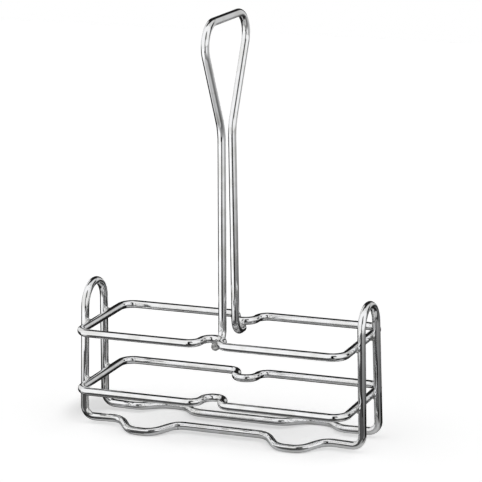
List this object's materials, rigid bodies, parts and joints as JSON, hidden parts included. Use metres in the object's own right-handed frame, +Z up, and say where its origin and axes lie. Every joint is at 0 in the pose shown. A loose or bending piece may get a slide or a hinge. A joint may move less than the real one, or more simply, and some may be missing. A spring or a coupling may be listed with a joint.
{
  "type": "condiment caddy",
  "caption": "Round-wire table caddy that holds bottles in pinched rings on a footed wire base, carried by a tall loop handle.",
  "frame": {"origin": "on the table surface, under the middle of the rack", "axes": "+X runs along the caddy through both bottle pockets, +Y to the back, +Z up along the handle's stems"},
  "size_m": [0.1872, 0.0778, 0.2586],
  "materials": {
    "chrome_wire": "polished",
    "chrome_weld": "satin"
  },
  "bodies": {
    "root": {"handle": "chrome_wire", "upper_ring": "chrome_wire", "lower_ring": "chrome_wire", "base_frame": "chrome_wire", "weld_upper_left_front": "chrome_weld", "weld_upper_left_back": "chrome_weld", "weld_upper_right_front": "chrome_weld", "weld_upper_right_back": "chrome_weld", "weld_lower_left_front": "chrome_weld", "weld_lower_left_back": "chrome_weld", "weld_lower_right_front": "chrome_weld", "weld_lower_right_back": "chrome_weld", "weld_handle_front": "chrome_weld", "weld_handle_back": "chrome_weld"}
  },
  "joints": []
}
